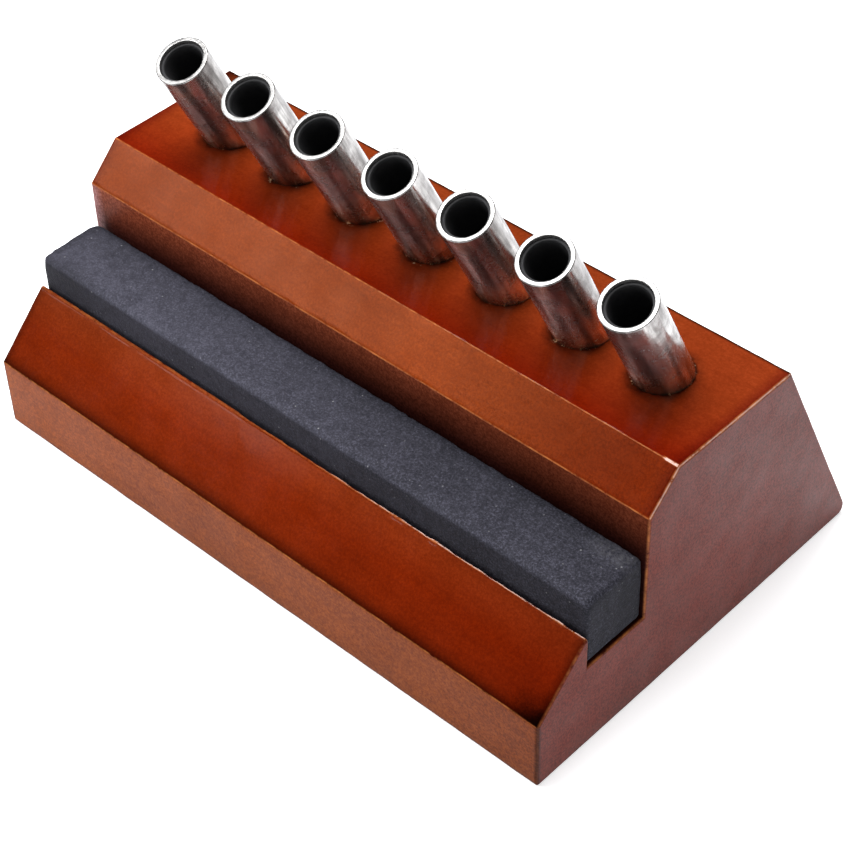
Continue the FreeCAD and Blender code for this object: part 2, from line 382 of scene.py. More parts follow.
def sleeve_material():
    """Black matt lining."""
    m = Nodes("black_sleeve")
    p = m.point()
    fine = m.noise(p, 1300, 3, 0.6)
    broad = m.noise(p, 260, 3, 0.6)
    m.put("Base Color", m.mix(m.fit(broad, 0.35, 0.7), (0.034, 0.034, 0.036), (0.052, 0.0515, 0.054)))
    m.put("Roughness", m.fit(fine, 0.3, 0.7, 0.7, 0.9))
    m.put("Specular IOR Level", 0.2)
    m.put("Normal", m.bump(fine, 0.05 * MM, 0.3))
    return m.material


def stone_material():
    """Fine grey stone, pits and pale grains. Attributes: scuff (rubbed), shade (painted light and shade,
    crumbs).
    """
    m = Nodes("grey_stone")
    p = m.point()
    scuff = m.attribute("scuff").outputs["Fac"]
    shade = m.attribute("shade")
    crumbs = shade.outputs["Alpha"]
    cloud = m.noise(p, 90, 4, 0.62)
    fine = m.noise(p, 2300, 3, 0.8)
    mid = m.noise(p, 520, 4, 0.75)
    colour = m.mix(m.fit(cloud, 0.32, 0.7), STONE_DARK, STONE_MID)
    colour = m.mix(m.math("MULTIPLY", crumbs, m.fit(fine, 0.5, 0.68, 0.0, 0.8)), colour, STONE_CRUMB)
    colour = m.mix(m.math("MULTIPLY", crumbs, m.fit(fine, 0.49, 0.32, 0.0, 0.8)), colour, STONE_PIT)
    colour = m.mix(m.fit(mid, 0.5, 0.34, 0.0, 0.5), colour, STONE_HOLLOW)
    grain = m.math("MULTIPLY", m.fit(m.cells(p, 520), 0.13, 0.06), m.fit(m.noise(p, 700, 2), 0.52, 0.6))
    colour = m.mix(m.math("MULTIPLY", grain, crumbs, True), colour, STONE_GRAIN)
    rubbed = m.math("MULTIPLY", scuff, m.fit(m.noise(p, 800, 4, 0.75), 0.4, 0.62), True)
    colour = m.mix(rubbed, colour, STONE_RUBBED)
    # the shade attribute paints light and shade onto the stone
    m.put("Base Color", m.tint(colour, shade.outputs["Color"]))
    m.put("Roughness", m.fit(fine, 0.3, 0.7, 0.62, 0.85))
    m.put("Specular IOR Level", 0.1)
    deep = m.fit(m.cells(p, 330), 0.0, 0.28, 0.0, 1.0, True)
    dimples = m.bump(deep, 0.15 * MM, 0.7, m.bump(mid, 0.4 * MM, 0.8))
    m.put("Normal", m.bump(fine, 0.12 * MM, 0.8, dimples))
    return m.material


# ---------------------------------------------------------------- geometry helpers

def mesh_object(name, points, faces, body, material, smooth=True):
    """New mesh object in the row frame, riding a body."""
    data = bpy.data.meshes.new(name)
    data.from_pydata([tuple(map(float, p)) for p in points], [], [tuple(f) for f in faces])
    data.update()
    data.validate()
    data.materials.append(material)
    data.polygons.foreach_set("use_smooth", [smooth] * len(data.polygons))
    obj = bpy.data.objects.new(name, data)
    bpy.context.scene.collection.objects.link(obj)
    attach(obj, body)
    return obj


def section_loop(node, x):
    """Outline (y, z) of a CAD node where the plane at x cuts it, in order."""
    bm = bmesh.new()
    bm.from_mesh(node.data)
    bmesh.ops.remove_doubles(bm, verts=bm.verts, dist=1e-7)
    cut = bmesh.ops.bisect_plane(bm, geom=bm.verts[:] + bm.edges[:] + bm.faces[:],
                                 plane_co=(x, 0, 0), plane_no=(1, 0, 0), clear_inner=True)
    edges = [e for e in cut["geom_cut"] if isinstance(e, bmesh.types.BMEdge)]
    links = {}
    for e in edges:
        a, b = e.verts
        links.setdefault(a, []).append(b)
        links.setdefault(b, []).append(a)
    first = min(links, key=lambda v: (v.co.z, v.co.y))
    loop, last, here = [first], None, first
    while True:
        onward = [v for v in links[here] if v is not last]
        last, here = here, onward[0]
        if here is first:
            break
        loop.append(here)
    outline = np.array([(v.co.y, v.co.z) for v in loop])
    bm.free()
    y, z = outline[:, 0], outline[:, 1]
    area = 0.5 * np.sum(y * np.roll(z, -1) - np.roll(y, -1) * z)
    return outline if area > 0 else outline[::-1]


def sharp_corners(outline, shortest):
    """Corners where the long straight sides of an outline would meet."""
    straight = 0.99995
    n = len(outline)
    runs = []
    for i in range(n):
        a, b = outline[i], outline[(i + 1) % n]
        d = b - a
        length = np.hypot(*d)
        if length < 1e-6:
            continue
        d = d / length
        if runs and np.dot(runs[-1][2], d) > straight:
            runs[-1][1] = b
        else:
            runs.append([a, b, d])
    if np.dot(runs[0][2], runs[-1][2]) > straight:
        runs[0][0] = runs[-1][0]
        runs.pop()
    sides = [r for r in runs if np.hypot(*(r[1] - r[0])) > shortest]
    corners = []
    for k, side in enumerate(sides):
        before = sides[k - 1]
        grid = np.array([before[2], -side[2]]).T
        t = np.linalg.solve(grid, side[0] - before[0])
        corners.append(before[0] + before[2] * t[0])
    return np.array(corners)


# ---------------------------------------------------------------- the wooden block

def corner_radius(corners, outline, i):
    """Radius of the arc that rounds corner i, from where the straight side before it ends."""
    here = corners[i]
    a, b = corners[i - 1] - here, corners[(i + 1) % len(corners)] - here
    a, b = a / np.hypot(*a), b / np.hypot(*b)
    half_angle = 0.5 * math.acos(float(np.dot(a, b)))
    spots = outline - here
    on_side = np.abs(spots @ np.array([-a[1], a[0]])) < 0.002 * MM
    return float(np.min((spots @ a)[on_side])) * math.tan(half_angle)


def block_profile(corners, radii):
    """Dense outline rows: point, outward offset, place along the sides, corner number or -1.

    Convex corners are arcs; their place runs from one side's number to the next.
    """
    n = len(corners)
    arc_step = 14
    near = [0.25 * MM, 0.7 * MM, 1.5 * MM]
    margin, spacing = 2.4 * MM, 1.1 * MM
    rows = []
    sides = []
    for i in range(n):
        p0, p1, p2 = corners[i - 1], corners[i], corners[(i + 1) % n]
        d1 = (p1 - p0) / np.hypot(*(p1 - p0))
        d2 = (p2 - p1) / np.hypot(*(p2 - p1))
        n1, n2 = np.array([d1[1], -d1[0]]), np.array([d2[1], -d2[0]])
        turn = math.atan2(d1[0] * d2[1] - d1[1] * d2[0], float(np.dot(d1, d2)))
        if turn > 0:
            r = radii[i]
            reach = r * math.tan(turn / 2)
            centre = p1 - d1 * reach - n1 * r
            steps = max(4, int(math.degrees(turn) / arc_step))
            arc = []
            for k in range(steps + 1):
                a = turn * k / steps
                out = n1 * math.cos(a) + d1 * math.sin(a)
                arc.append((centre + out * r, out, k / steps))
            sides.append((arc, reach))
        else:
            sides.append(([(p1, n1 + n2, 0.5)], 0.0))
    for i in range(n):
        arc, reach = sides[i]
        soft = len(arc) > 1
        for p, out, t in arc:
            rows.append((p, out, (i - 1 + t), i if soft else -1))
        a, b = arc[-1][0], sides[(i + 1) % n][0][0][0]
        d = b - a
        length = float(np.hypot(*d))
        out = np.array([d[1], -d[0]]) / length
        count = max(3, int(length / spacing))
        middle = list(np.linspace(margin, length - margin, count))
        places = near + middle + [length - x for x in near[::-1]]
        for s in places:
            rows.append((a + d * s / length, out, float(i), -1))
    return rows


STAIN = {UNDERSIDE: (0.10, 0.020, 0.006), BACK: (0.17, 0.03, 0.008), TOP: (0.150, 0.0095, 0.0008),
         SLOPE: (0.150, 0.0215, 0.002), WALL: (0.092, 0.016, 0.007), FLOOR: (0.10, 0.013, 0.004),
         LIP: (0.10, 0.013, 0.004), RAMP: (0.150, 0.014, 0.0012), FRONT: (0.196, 0.040, 0.0045)}
GLOSS = {UNDERSIDE: 0.1, BACK: 0.3, TOP: 1.0, SLOPE: 0.72, WALL: 0.3, FLOOR: 0.2, LIP: 0.3, RAMP: 0.88,
         FRONT: 0.5}
VEIL = {UNDERSIDE: 0.3, BACK: 0.4, TOP: 0.0, SLOPE: 0.42, WALL: 0.05, FLOOR: 0.1, LIP: 0.1, RAMP: 0.08,
        FRONT: 0.085}
CHALK = {UNDERSIDE: 1.0, BACK: 0.6, TOP: 0.3, SLOPE: 0.0, WALL: 0.5, FLOOR: 0.5, LIP: 0.5, RAMP: 0.0,
         FRONT: 0.15}
# wear of the corner at which each side starts
RUBBED = {UNDERSIDE: 0.05, BACK: 0.15, TOP: 0.12, SLOPE: 0.62, WALL: 0.62, FLOOR: 0.0, LIP: 0.0, RAMP: 1.0,
          FRONT: 0.55}
END_STAIN, END_CHALK, END_GLOSS, END_VEIL = (0.122, 0.017, 0.010), 0.8, 0.15, 0.285
# The wall, top and ramp runs paint light and shade into the stain: the wall shaded low down, the top paler
# to the back, the ramp paler at the lip.
WALL_LOW, WALL_HIGH, WALL_END = (0.040, 0.009, 0.0066), (0.230, 0.048, 0.018), (0.34, 0.17, 0.16)
TOP_RUN = (0.142, 0.0068, 0.0004), (0.212, 0.030, 0.0055), (0.222, 0.034, 0.0068)
RAMP_RUN = (0.165, 0.024, 0.0042), (0.145, 0.0125, 0.0009), (0.146, 0.0135, 0.0014)


def blend(table, s):
    """Value of a table of sides at place s on the outline."""
    whole = math.floor(s)
    a, b, t = int(whole) % SIDES, (int(whole) + 1) % SIDES, s - whole
    return np.array(table[a], float) * (1 - t) + np.array(table[b], float) * t


class Block:
    """The wooden block's outline, and its bites, colours and wear from place to place."""

    def __init__(self):
        self.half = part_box("stand_block")[1].x
        self.bar_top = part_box("stone_bar")[1].z
        beyond_tubes = (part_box("tube_7")[1].x + self.half) / 2
        outline = section_loop(frame["nodes"]["stand_block"], beyond_tubes)
        corners = sharp_corners(outline, 3 * MM)
        start = int(np.argmin(corners[:, 0] + corners[:, 1] * 3))
        self.corners = np.roll(corners, -start, axis=0)
        self.radius = corner_radius(self.corners, outline, UNDERSIDE)
        radii = [self.radius] * len(corners)
        radii[BACK] = corner_radius(self.corners, outline, BACK)
        rows = block_profile(self.corners, radii)
        self.flat = np.array([r[0] for r in rows])
        self.out = np.array([r[1] for r in rows])
        self.side = np.array([r[2] for r in rows]) % SIDES
        self.corner = [r[3] for r in rows]
        self.ramp_length = float(np.hypot(*(self.corners[FRONT] - self.corners[RAMP])))
        places = zip(self.side, self.flat)
        self.tone = np.array([[*self.shade(s, p), float(blend(CHALK, s))] for s, p in places])
        self.shine = np.array([[blend(GLOSS, s), blend(VEIL, s)] for s in self.side])

    def stations(self):
        """Places along the block: x, inset of the outline, share of the end face."""
        first = self.radius - self.half
        steps = 5
        found = []
        for k in range(steps + 1):
            a = math.pi / 2 * k / steps
            inset = self.radius * (1 - math.sin(a))
            found.append((first - self.radius * math.cos(a), inset, 1 - k / steps))
        found += [(first + e, 0.0, 0.0) for e in (0.3 * MM, 0.7 * MM)]
        end = list(found)
        found += [(x, 0.0, 0.0) for x in np.arange(first + 1.2 * MM, -first - 1.1 * MM, 1.0 * MM)]
        return found + [(-x, inset, share) for x, inset, share in reversed(end)]

    def down_ramp(self, y):
        """0 at the lip, 1 at the front edge."""
        return clamp((self.corners[RAMP][0] - y) / (self.corners[RAMP][0] - self.corners[FRONT][0]))

    def across_top(self, y):
        """0 at the slope, 1 at the back edge."""
        return (y - self.corners[SLOPE][0]) / (self.corners[TOP][0] - self.corners[SLOPE][0])

    def shade(self, s, place):
        """Stain on the outline, with painted light and shade: the top is paler towards the back, the ramp
        paler at the lip, the wall darker low down.
        """
        y, z = place
        colour = blend(STAIN, s)
        if 3.5 < s < 4.6:
            t = clamp((z - self.bar_top) / (self.corners[WALL][1] - self.bar_top))
            # painted shade: the wall darker low down, by the bar
            colour = np.array(WALL_LOW) * (1 - t) + np.array(WALL_HIGH) * t
        if 1.5 < s < 2.5:
            t = clamp(self.across_top(y))
            # painted light: the top paler towards the back
            colour = three_tones(*TOP_RUN, t)
            if t > 0.97:
                colour = colour * 0.55
        if 6.6 < s < 7.6:
            u = self.down_ramp(y)
            # painted light: the ramp paler at the lip
            colour = three_tones(*RAMP_RUN, u)
            if u > 0.93:
                colour = colour * (1 - 0.45 * (u - 0.93) / 0.07)
        return colour

    def bite(self, j, x, y, z, share):
        """How far the surface lies below the true form: edges are rubbed and nicked."""
        if share == 1.0:
            return 0.0
        corner = self.corner[j]
        if corner < 0 and share == 0:
            return 0.012 * MM * (1 + wave(x, y, z, 14 * MM, 1.3))
        rub = wave(x, y, z, 5 * MM, 3.1)
        nick = wave(x, y, z, 1.6 * MM, 9.7)
        depth = 0.05 * MM * (1 + rub) + 0.22 * MM * max(0.0, nick - 0.45)
        if corner == RAMP and x > -0.2 * self.half:
            depth += 0.24 * MM * (1 + wave(x, y, z, 1.9 * MM, 4.4))
        if corner in (SLOPE, WALL) and x > self.half - 7 * MM:
            depth += 0.3 * MM * max(0.0, wave(x, y, z, 1.4 * MM, 6.1))
        return depth

    def scorch(self, x, y, z):
        """Dark pool of stain in the near front corner of the ramp."""
        down = (1 - self.down_ramp(y)) * self.ramp_length
        reach = math.hypot((self.half - x) / (10 * MM), down / (7 * MM))
        return 0.92 * clamp(1.4 - 1.4 * reach + 0.3 * wave(x, y, z, 3 * MM, 8.8))

    def colour(self, j, x, y, z, share):
        """Stain and chalk of one point, with painted light and shade on the ramp, slope, wall and front;
        share is how much of it belongs to the end face.
        """
        half, side = self.half, self.side[j]
        far = (half - x) / (2 * half)
        near = 1 - far
        here = self.tone[j].copy()
        if self.corner[j] == TOP:
            here[:3] *= 0.2
        if 6.6 < side < 7.7:
            u = self.down_ramp(y)
            rim = 0.62 * max(0.0, 1 - (half - abs(x)) / (2.4 * MM))
            foot = 0.6 * max(0.0, (u - 0.84) / 0.16)
            here[:3] *= (1 - rim) * (1 - foot) * (1 - self.scorch(x, y, z))
            # painted highlight: the ramp paler in the middle of its length, near the lip
            here[:3] *= 0.9 + 0.22 * (1 - (x / half) ** 2) * max(0.0, 1 - u)
            here[:3] *= (1 - 0.08 * near ** 2, 1 - 0.3 * near ** 2, 1 - 0.3 * near ** 2)
        if 1.9 < side < 3.1:
            if self.corner[j] < 0:
                rim = max(0.0, 1 - (half - abs(x)) / (3.2 * MM))
                here[:3] *= (1 - 0.5 * rim, 1 - 0.75 * rim, 1 - 0.5 * rim)
            here[:3] *= (1 + 0.15 * near ** 5, 1, 1)
            if self.across_top(y) > 0.6:
                here[:3] *= 1 - 0.75 * math.exp(-((half + x) / (8 * MM)) ** 2)
        if 3.9 < side < 5.1:
            # painted light and shade along the wall: darker towards the near end, paler at the far end
            here[:3] *= 0.62 - 0.13 * near ** 2 + 0.42 * far ** 6
            bare = 0.9 * max(0.0, 1 - (half + x) / (3.6 * MM))
            here[:3] = here[:3] * (1 - bare) + np.array(WALL_END) * bare
        if 2.95 < side < 3.5:
            # painted highlight: a paler band along the slope
            here[:3] *= 0.99 + 0.2 * math.exp(-((x - 0.28 * half) / (0.2 * half)) ** 2)
            t = clamp((x / half - 0.45) / 0.4)
            here[:3] *= (1 - 0.16 * t, 1 - 0.36 * t, 1 - 0.38 * t)
        if side > 7.7:
            # painted light on the front: darker to the right, paler upwards
            here[:3] *= (1.0 - 0.18 * x / half) * (0.9 + 0.12 * min(1.0, z / self.corners[FRONT][1]))
        return here * (1 - share) + np.array([*END_STAIN, END_CHALK]) * share

    def wear(self, j, x, y, z, share):
        """How worn an edge is: long edges by table, the lip mostly towards the near end."""
        half, side, corner = self.half, self.side[j], self.corner[j]
        toward_near = ease((x + 0.3 * half) / (0.8 * half))
        worn = 0.0
        if corner >= 0:
            middle = math.sin(math.pi * (side + 1 - corner) % math.pi)
            worn = RUBBED[corner] * middle ** (0.9 if corner == RAMP else 1.2)
            if corner == SLOPE and x > half - 3.5 * MM:
                worn = 1.0
            if corner == RAMP:
                worn *= 0.35 + 0.65 * toward_near
        if 6.95 < side < 7.05 and corner < 0:
            lip = self.corners[RAMP]
            spread = max(0.0, 1 - math.hypot(y - lip[0], z - lip[1]) / (1.5 * MM))
            worn = min(1.0, 1.6 * spread) * toward_near
        if 0 < share < 1:
            across_end = math.sin(math.pi * share)
            if 1.9 < side < 3.3:
                worn = 0.84 * across_end
            elif side > 7.5 or side < 1:
                worn = 0.08 * across_end ** 2
            else:
                worn = (0.4 if side > 6.5 else 0.62 if side > 1.6 else 0.3) * across_end ** 2
        return worn if share < 1 else 0.0

    def finish(self, j, x, y, z, share):
        """Gloss, wear and veil of one point."""
        shine = self.shine[j]
        scorched = self.scorch(x, y, z) * (1 - share) if 6.6 < self.side[j] < 7.7 else 0.0
        shine = shine * (1 - share) + np.array([END_GLOSS, END_VEIL]) * share
        if self.corner[j] == RAMP:
            shine = np.array([0.3, 0.1])
        shine = shine * (1 - np.array([0.75, 0.5]) * scorched)
        return shine[0], self.wear(j, x, y, z, share) * (1 - scorched), shine[1]


def build_block(material):
    form = Block()
    stations = form.stations()
    count = len(form.flat)
    points, colour, finish = [], [], []
    for x, inset, share in stations:
        for j in range(count):
            y, z = form.flat[j] - form.out[j] * inset
            direction = Vector((0.0, form.out[j][0], form.out[j][1]))
            if share > 0:
                direction *= 1 - share
                direction.x = math.copysign(1.0, x) * share
            direction.normalize()
            points.append(Vector((x, y, z)) - direction * form.bite(j, x, y, z, share))
            colour.append(form.colour(j, x, y, z, share))
            finish.append(form.finish(j, x, y, z, share))
    faces = []
    total = len(stations)
    for i in range(total - 1):
        for j in range(count):
            k = (j + 1) % count
            faces.append((i * count + j, i * count + k, (i + 1) * count + k, (i + 1) * count + j))
    faces.append([j for j in range(count)][::-1])
    faces.append([(total - 1) * count + j for j in range(count)])
    block = mesh_object("wood_block", points, faces, "stand", material)
    data = block.data
    a = data.attributes.new("stain", "FLOAT_COLOR", "POINT")
    a.data.foreach_set("color", np.array(colour).ravel().astype(np.float32))
    b = data.attributes.new("finish", "FLOAT_VECTOR", "POINT")
    b.data.foreach_set("vector", np.array(finish, np.float32).ravel())
    bm = bmesh.new()
    bm.from_mesh(data)
    bmesh.ops.recalc_face_normals(bm, faces=bm.faces)
    bm.to_mesh(data)
    bm.free()
    cut_sockets(block)
    block.data.set_sharp_from_angle(angle=math.radians(35))
    keep = block.modifiers.new("even_normals", "WEIGHTED_NORMAL")
    keep.keep_sharp = True
    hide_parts("stand_block")


def lathe_grid(rings, count, centre, turn):
    """Points and quads of a ring of revolution about the local Z axis; rings are (radius, height)."""
    points, faces = [], []
    for r, h in rings:
        for k in range(count):
            a = 2 * math.pi * k / count
            points.append(centre + turn @ Vector((r * math.cos(a), r * math.sin(a), h)))
    n = len(rings)
    for i in range(n):
        j = (i + 1) % n
        for k in range(count):
            after = (k + 1) % count
            faces.append((i * count + k, i * count + after, j * count + after, j * count + k))
    return points, faces


def cut_sockets(block):
    """Slanted blind holes that hold the tubes."""
    points, faces = [], []
    count = 72
    for n in range(1, 8):
        spot = tubes[n]
        shift = len(points)
        for h in (spot["bottom"], spot["top"]):
            for k in range(count):
                a = 2 * math.pi * k / count
                round_about = Vector((spot["radius"] * math.cos(a), spot["radius"] * math.sin(a), h))
                points.append(spot["origin"] + turn @ round_about)
        for k in range(count):
            after = (k + 1) % count
            faces.append((shift + k, shift + after, shift + count + after, shift + count + k))
        faces.append([shift + k for k in range(count)][::-1])
        faces.append([shift + count + k for k in range(count)])
    data = bpy.data.meshes.new("cutter")
    data.from_pydata([tuple(p) for p in points], [], faces)
    cutter = bpy.data.objects.new("cutter", data)
    bpy.context.scene.collection.objects.link(cutter)
    step = block.modifiers.new("sockets", "BOOLEAN")
    step.operation = "DIFFERENCE"
    step.solver = "EXACT"
    step.object = cutter
    bpy.context.view_layer.update()
    graph = bpy.context.evaluated_depsgraph_get()
    evaluated = block.evaluated_get(graph)
    done = bpy.data.meshes.new_from_object(evaluated, preserve_all_data_layers=True, depsgraph=graph)
    block.modifiers.clear()
    stain, finish = done.attributes["stain"].data, done.attributes["finish"].data
    # the rims of the holes round the tubes get a painted dark contact shade
    for v in done.vertices:
        for spot in tubes.values():
            d = v.co - spot["origin"]
            away = (d - axis * d.dot(axis)).length
            if away < spot["radius"] + 0.02 * MM and v.co.z > 10 * MM:
                stain[v.index].color = SOCKET_PAINTED_SHADE
                finish[v.index].vector = (0.5, 0.0, 0.1)
    old = block.data
    block.data = done
    bpy.data.meshes.remove(old)
    bpy.data.objects.remove(cutter)
    bpy.data.meshes.remove(data)


# ---------------------------------------------------------------- tubes and linings

def measure_tubes():
    """Axis, ends and radii of each tube and lining, from the CAD nodes."""
    found = {}
    axis = Vector(mounts["socket_1"]["axis"]).normalized()
    for n in range(1, 8):
        origin = Vector(mounts[f"socket_{n}"]["pos_m"])
        entry = {"origin": origin}
        for key, node in (("tube", f"tube_{n}"), ("sleeve", f"sleeve_{n}")):
            co = np.array([v.co for v in frame["nodes"][node].data.vertices], float) - np.array(origin)
            h = co @ np.array(axis)
            r = np.linalg.norm(co - np.outer(h, np.array(axis)), axis=1)
            entry[key] = (float(h.min()), float(h.max()), float(r.min()), float(r.max()))
        entry["bottom"] = entry["tube"][0]
        entry["top"] = entry["tube"][1] + 4 * MM
        entry["radius"] = entry["tube"][3]
        found[n] = entry
    return found, axis


def build_tube(n, material):
    spot = tubes[n]
    h0, h1, r0, r1 = spot["tube"]
    count = 96
    soft, inside = 0.22 * MM, 0.12 * MM
    rings = []
    for k in range(5):
        a = math.pi / 2 * k / 4
        rings.append((r1 - soft + soft * math.cos(a), h1 - soft + soft * math.sin(a)))
    rings += [(r1 - 0.4 * MM, h1), (r0 + 0.35 * MM, h1)]
    for k in range(4):
        a = math.pi / 2 * k / 3
        rings.append((r0 + inside - inside * math.sin(a), h1 - inside + inside * math.cos(a)))
    rings += [(r0, float(h)) for h in np.linspace(h1 - 0.6 * MM, h0, 9)]
    rings += [(r1, float(h)) for h in np.linspace(h0, h1 - 0.5 * MM, 60)]
    points, faces = lathe_grid(rings, count, Vector((0, 0, 0)), Matrix.Identity(3))
    shaped = []
    for p in points:
        r = math.hypot(p.x, p.y)
        if r > r0 + 0.3 * MM:
            dent = wave(p.x, p.y, p.z * 0.5, 7 * MM, 4.0 * n) * 0.5 + 0.5
            dented = r - dent * 0.015 * MM
            p = Vector((p.x * dented / r, p.y * dented / r, p.z))
        shaped.append(spot["origin"] + turn @ p)
    obj = mesh_object(f"steel_tube_{n}", shaped, faces, "stand", material)
    worked = []
    for r, h in rings:
        rim = h > h1 - 0.02 * MM and r < r1 - 0.15 * MM
        worked += [1.0 if rim else 0.6 if r < r0 + 0.2 * MM else 0.0] * count
    turned = obj.data.attributes.new("turned", "FLOAT", "POINT")
    turned.data.foreach_set("value", np.array(worked, np.float32))
    obj.data.flip_normals()
    obj.data.set_sharp_from_angle(angle=math.radians(50))
    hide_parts(f"tube_{n}")


def build_sleeve(n, material):
    spot = tubes[n]
    h0, h1, r0, r1 = spot["sleeve"]
    count = 64
    cut = 0.1 * MM
    rings = [(r1, h1 - cut), (r1 - cut, h1), (r0 + cut, h1), (r0, h1 - cut)]
    rings += [(r0, float(h)) for h in np.linspace(h1 - 1 * MM, h0, 14)]
    rings += [(r1, float(h)) for h in np.linspace(h0, h1 - 1 * MM, 6)]
    points, faces = lathe_grid(rings, count, spot["origin"], turn)
    obj = mesh_object(f"lining_{n}", points, faces, "stand", material)
    obj.data.flip_normals()
    obj.data.set_sharp_from_angle(angle=math.radians(50))
    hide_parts(f"sleeve_{n}")


# ---------------------------------------------------------------- the stone bar

def box_grid(size, pitch):
    """Points, as shares of the size from -0.5 to 0.5, and quads over the six sides of a box."""
    counts = [max(4, int(round(s / pitch))) for s in size]
    index, points, faces = {}, [], []

    def vertex(i, j, k):
        key = (i, j, k)
        if key not in index:
            index[key] = len(points)
            points.append((i / counts[0] - 0.5, j / counts[1] - 0.5, k / counts[2] - 0.5))
        return index[key]

    for axis_no in range(3):
        u, v = (axis_no + 1) % 3, (axis_no + 2) % 3
        for end in (0, counts[axis_no]):
            for a in range(counts[u]):
                for b in range(counts[v]):
                    quad = []
                    for da, db in ((0, 0), (1, 0), (1, 1), (0, 1)):
                        c = [0, 0, 0]
                        c[axis_no], c[u], c[v] = end, a + da, b + db
                        quad.append(vertex(*c))
                    faces.append(quad if end else quad[::-1])
    return points, faces


def bar_chips(size):
    """Centres and radii of the small bites out of the bar's ends and top edges."""
    chips = []
    for side in (-1, 1):
        for k in range(9):
            across = rng.uniform(-0.5, 0.5) * size.y
            up = size.z * rng.choice([0.5, 0.5, rng.uniform(-0.3, 0.5)])
            chips.append((Vector((side * size.x / 2, across, up)), rng.uniform(0.35, 0.9) * MM))
    for k in range(60):
        along = rng.uniform(-0.5, 0.5) * size.x
        across = rng.choice([-0.5, 0.5]) * size.y
        chips.append((Vector((along, across, 0.5 * size.z)), rng.uniform(0.25, 0.75) * MM))
    return chips


def held_in(p, half):
    """The nearest place to p in a box of half size `half`."""
    return Vector([max(-h, min(h, c)) for c, h in zip(p, half)])


def rounded_bar(p, half, broad, small):
    """A point of the plain box moved onto the worn, rounded bar."""
    front = clamp(0.5 - p.y / (2 * half.y))
    r = (0.6 + 0.15 * broad + 0.1 * small + (0.5 + 0.3 * broad + 0.2 * small) * front) * MM
    if p.x > half.x - 5 * MM:
        r += 0.4 * MM * (1 - (half.x - p.x) / (5 * MM)) * (1 + 0.5 * small)
    t = ease((p.z - half.z + 4.5 * MM) / (3 * MM))
    edge = clamp(1 - (half.x - abs(p.x)) / (4 * MM))
    r = r * t + (0.45 + 0.12 * small + 0.35 * edge) * MM * (1 - t)
    core = held_in(p, half - Vector((r, r, r)))
    d = p - core
    if d.length > 1e-9:
        p = core + d.normalized() * min(r, d.length)
    bend = (3 + 0.5 * broad) * MM
    plan = Vector((p.x + half.x - bend, p.y - half.y + bend))
    if plan.x < 0 < plan.y and plan.length > bend:
        plan = plan.normalized() * bend
        p = Vector((plan.x - half.x + bend, plan.y + half.y - bend, p.z))
    return p


def bar_painted_light(p, half):
    """Painted light and shade on the stone: paler at the far end and along the front of the top, a darker
    border round the far end of the top, darker sides; the fourth value is how crumbly it is.
    """
    size = 2 * half
    near = (p.x + half.x) / size.x
    level = 1.2 - 0.66 * near + 0.14 * max(0.0, (near - 0.75) / 0.25)
    far_end = clamp(1.6 - (p.x + half.x) / (14 * MM))
    border = min(p.x + half.x, 0.6 * (p.y + half.y) + 0.6 * MM, half.y - p.y + 1.2 * MM) / (2.6 * MM)
    # painted shade: a darker border round the far end of the top
    level *= 1 - 0.4 * far_end * clamp(1.4 - border) ** 1.5
    level *= 1 - 0.25 * p.y / half.y
    # painted shade: darker sides
    if p.z < half.z - 1.2 * MM:
        level *= 0.68 if abs(p.x) > half.x - 0.5 * MM else 0.46
    return (level, level, level * 1.03, 0.46 + 0.62 * near)


def build_bar(material):
    low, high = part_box("stone_bar")
    size = high - low
    centre = (low + high) / 2
    half = size / 2
    points, faces = box_grid(size, 0.8 * MM)
    chips = bar_chips(size)
    rubbed_spot = Vector((half.x - 4 * MM, half.y - 2.5 * MM, half.z))
    shaped, marks, shades = [], [], []
    for s in points:
        p = Vector((s[0] * size.x, s[1] * size.y, s[2] * size.z))
        broad = wave(p.x, p.y, p.z, 9 * MM, 2.2)
        small = wave(p.x, p.y, p.z, 2.2 * MM, 7.7)
        p = rounded_bar(p, half, broad, small)
        worn = max(0.0, 1 - (half.z - p.z) / (2.2 * MM)) * max(0.0, 1 - (half.y - abs(p.y)) / (2.2 * MM))
        rough = (0.03 + 0.10 * worn) * MM * (1 + wave(p.x, p.y, p.z, 1.3 * MM, 5.5))
        rough += (0.05 + 0.14 * worn) * MM * (1 + wave(p.x, p.y, p.z, 4 * MM, 6.5))
        inward = Vector([-c / h ** 8 * abs(c) ** 7 for c, h in zip(p, half)])
        if inward.length > 1e-9:
            p = p + inward.normalized() * rough
        for spot, radius in chips:
            away = p - spot
            if away.length < radius:
                p = held_in(spot + away.normalized() * radius, half)
        d = p - rubbed_spot
        away = Vector((d.x / 9, d.y / 3.5, d.z / 3)).length / MM
        on_edge = max(0.0, 1 - (half.z - p.z) / (0.8 * MM)) * max(0.0, 1 - (half.y - abs(p.y)) / (1.0 * MM))
        marks.append(clamp(max(0.0, 1.0 - away) * 0.7 + 0.2 * on_edge * (1 + small)))
        shades.append(bar_painted_light(p, half))
        shaped.append(centre + p)
    bar = mesh_object("stone_block", shaped, faces, "bar", material)
    a = bar.data.attributes.new("scuff", "FLOAT", "POINT")
    a.data.foreach_set("value", np.array(marks, np.float32))
    b = bar.data.attributes.new("shade", "FLOAT_COLOR", "POINT")
    b.data.foreach_set("color", np.array(shades, np.float32).ravel())
    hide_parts("stone_bar")


# ---------------------------------------------------------------- build everything

mounts = {m["name"]: m for m in frame["record"]["mounts"]}
tubes, axis = measure_tubes()
lean = math.atan2(-axis.y, axis.z)
turn = Vector((0, 0, 1)).rotation_difference(axis).to_matrix()

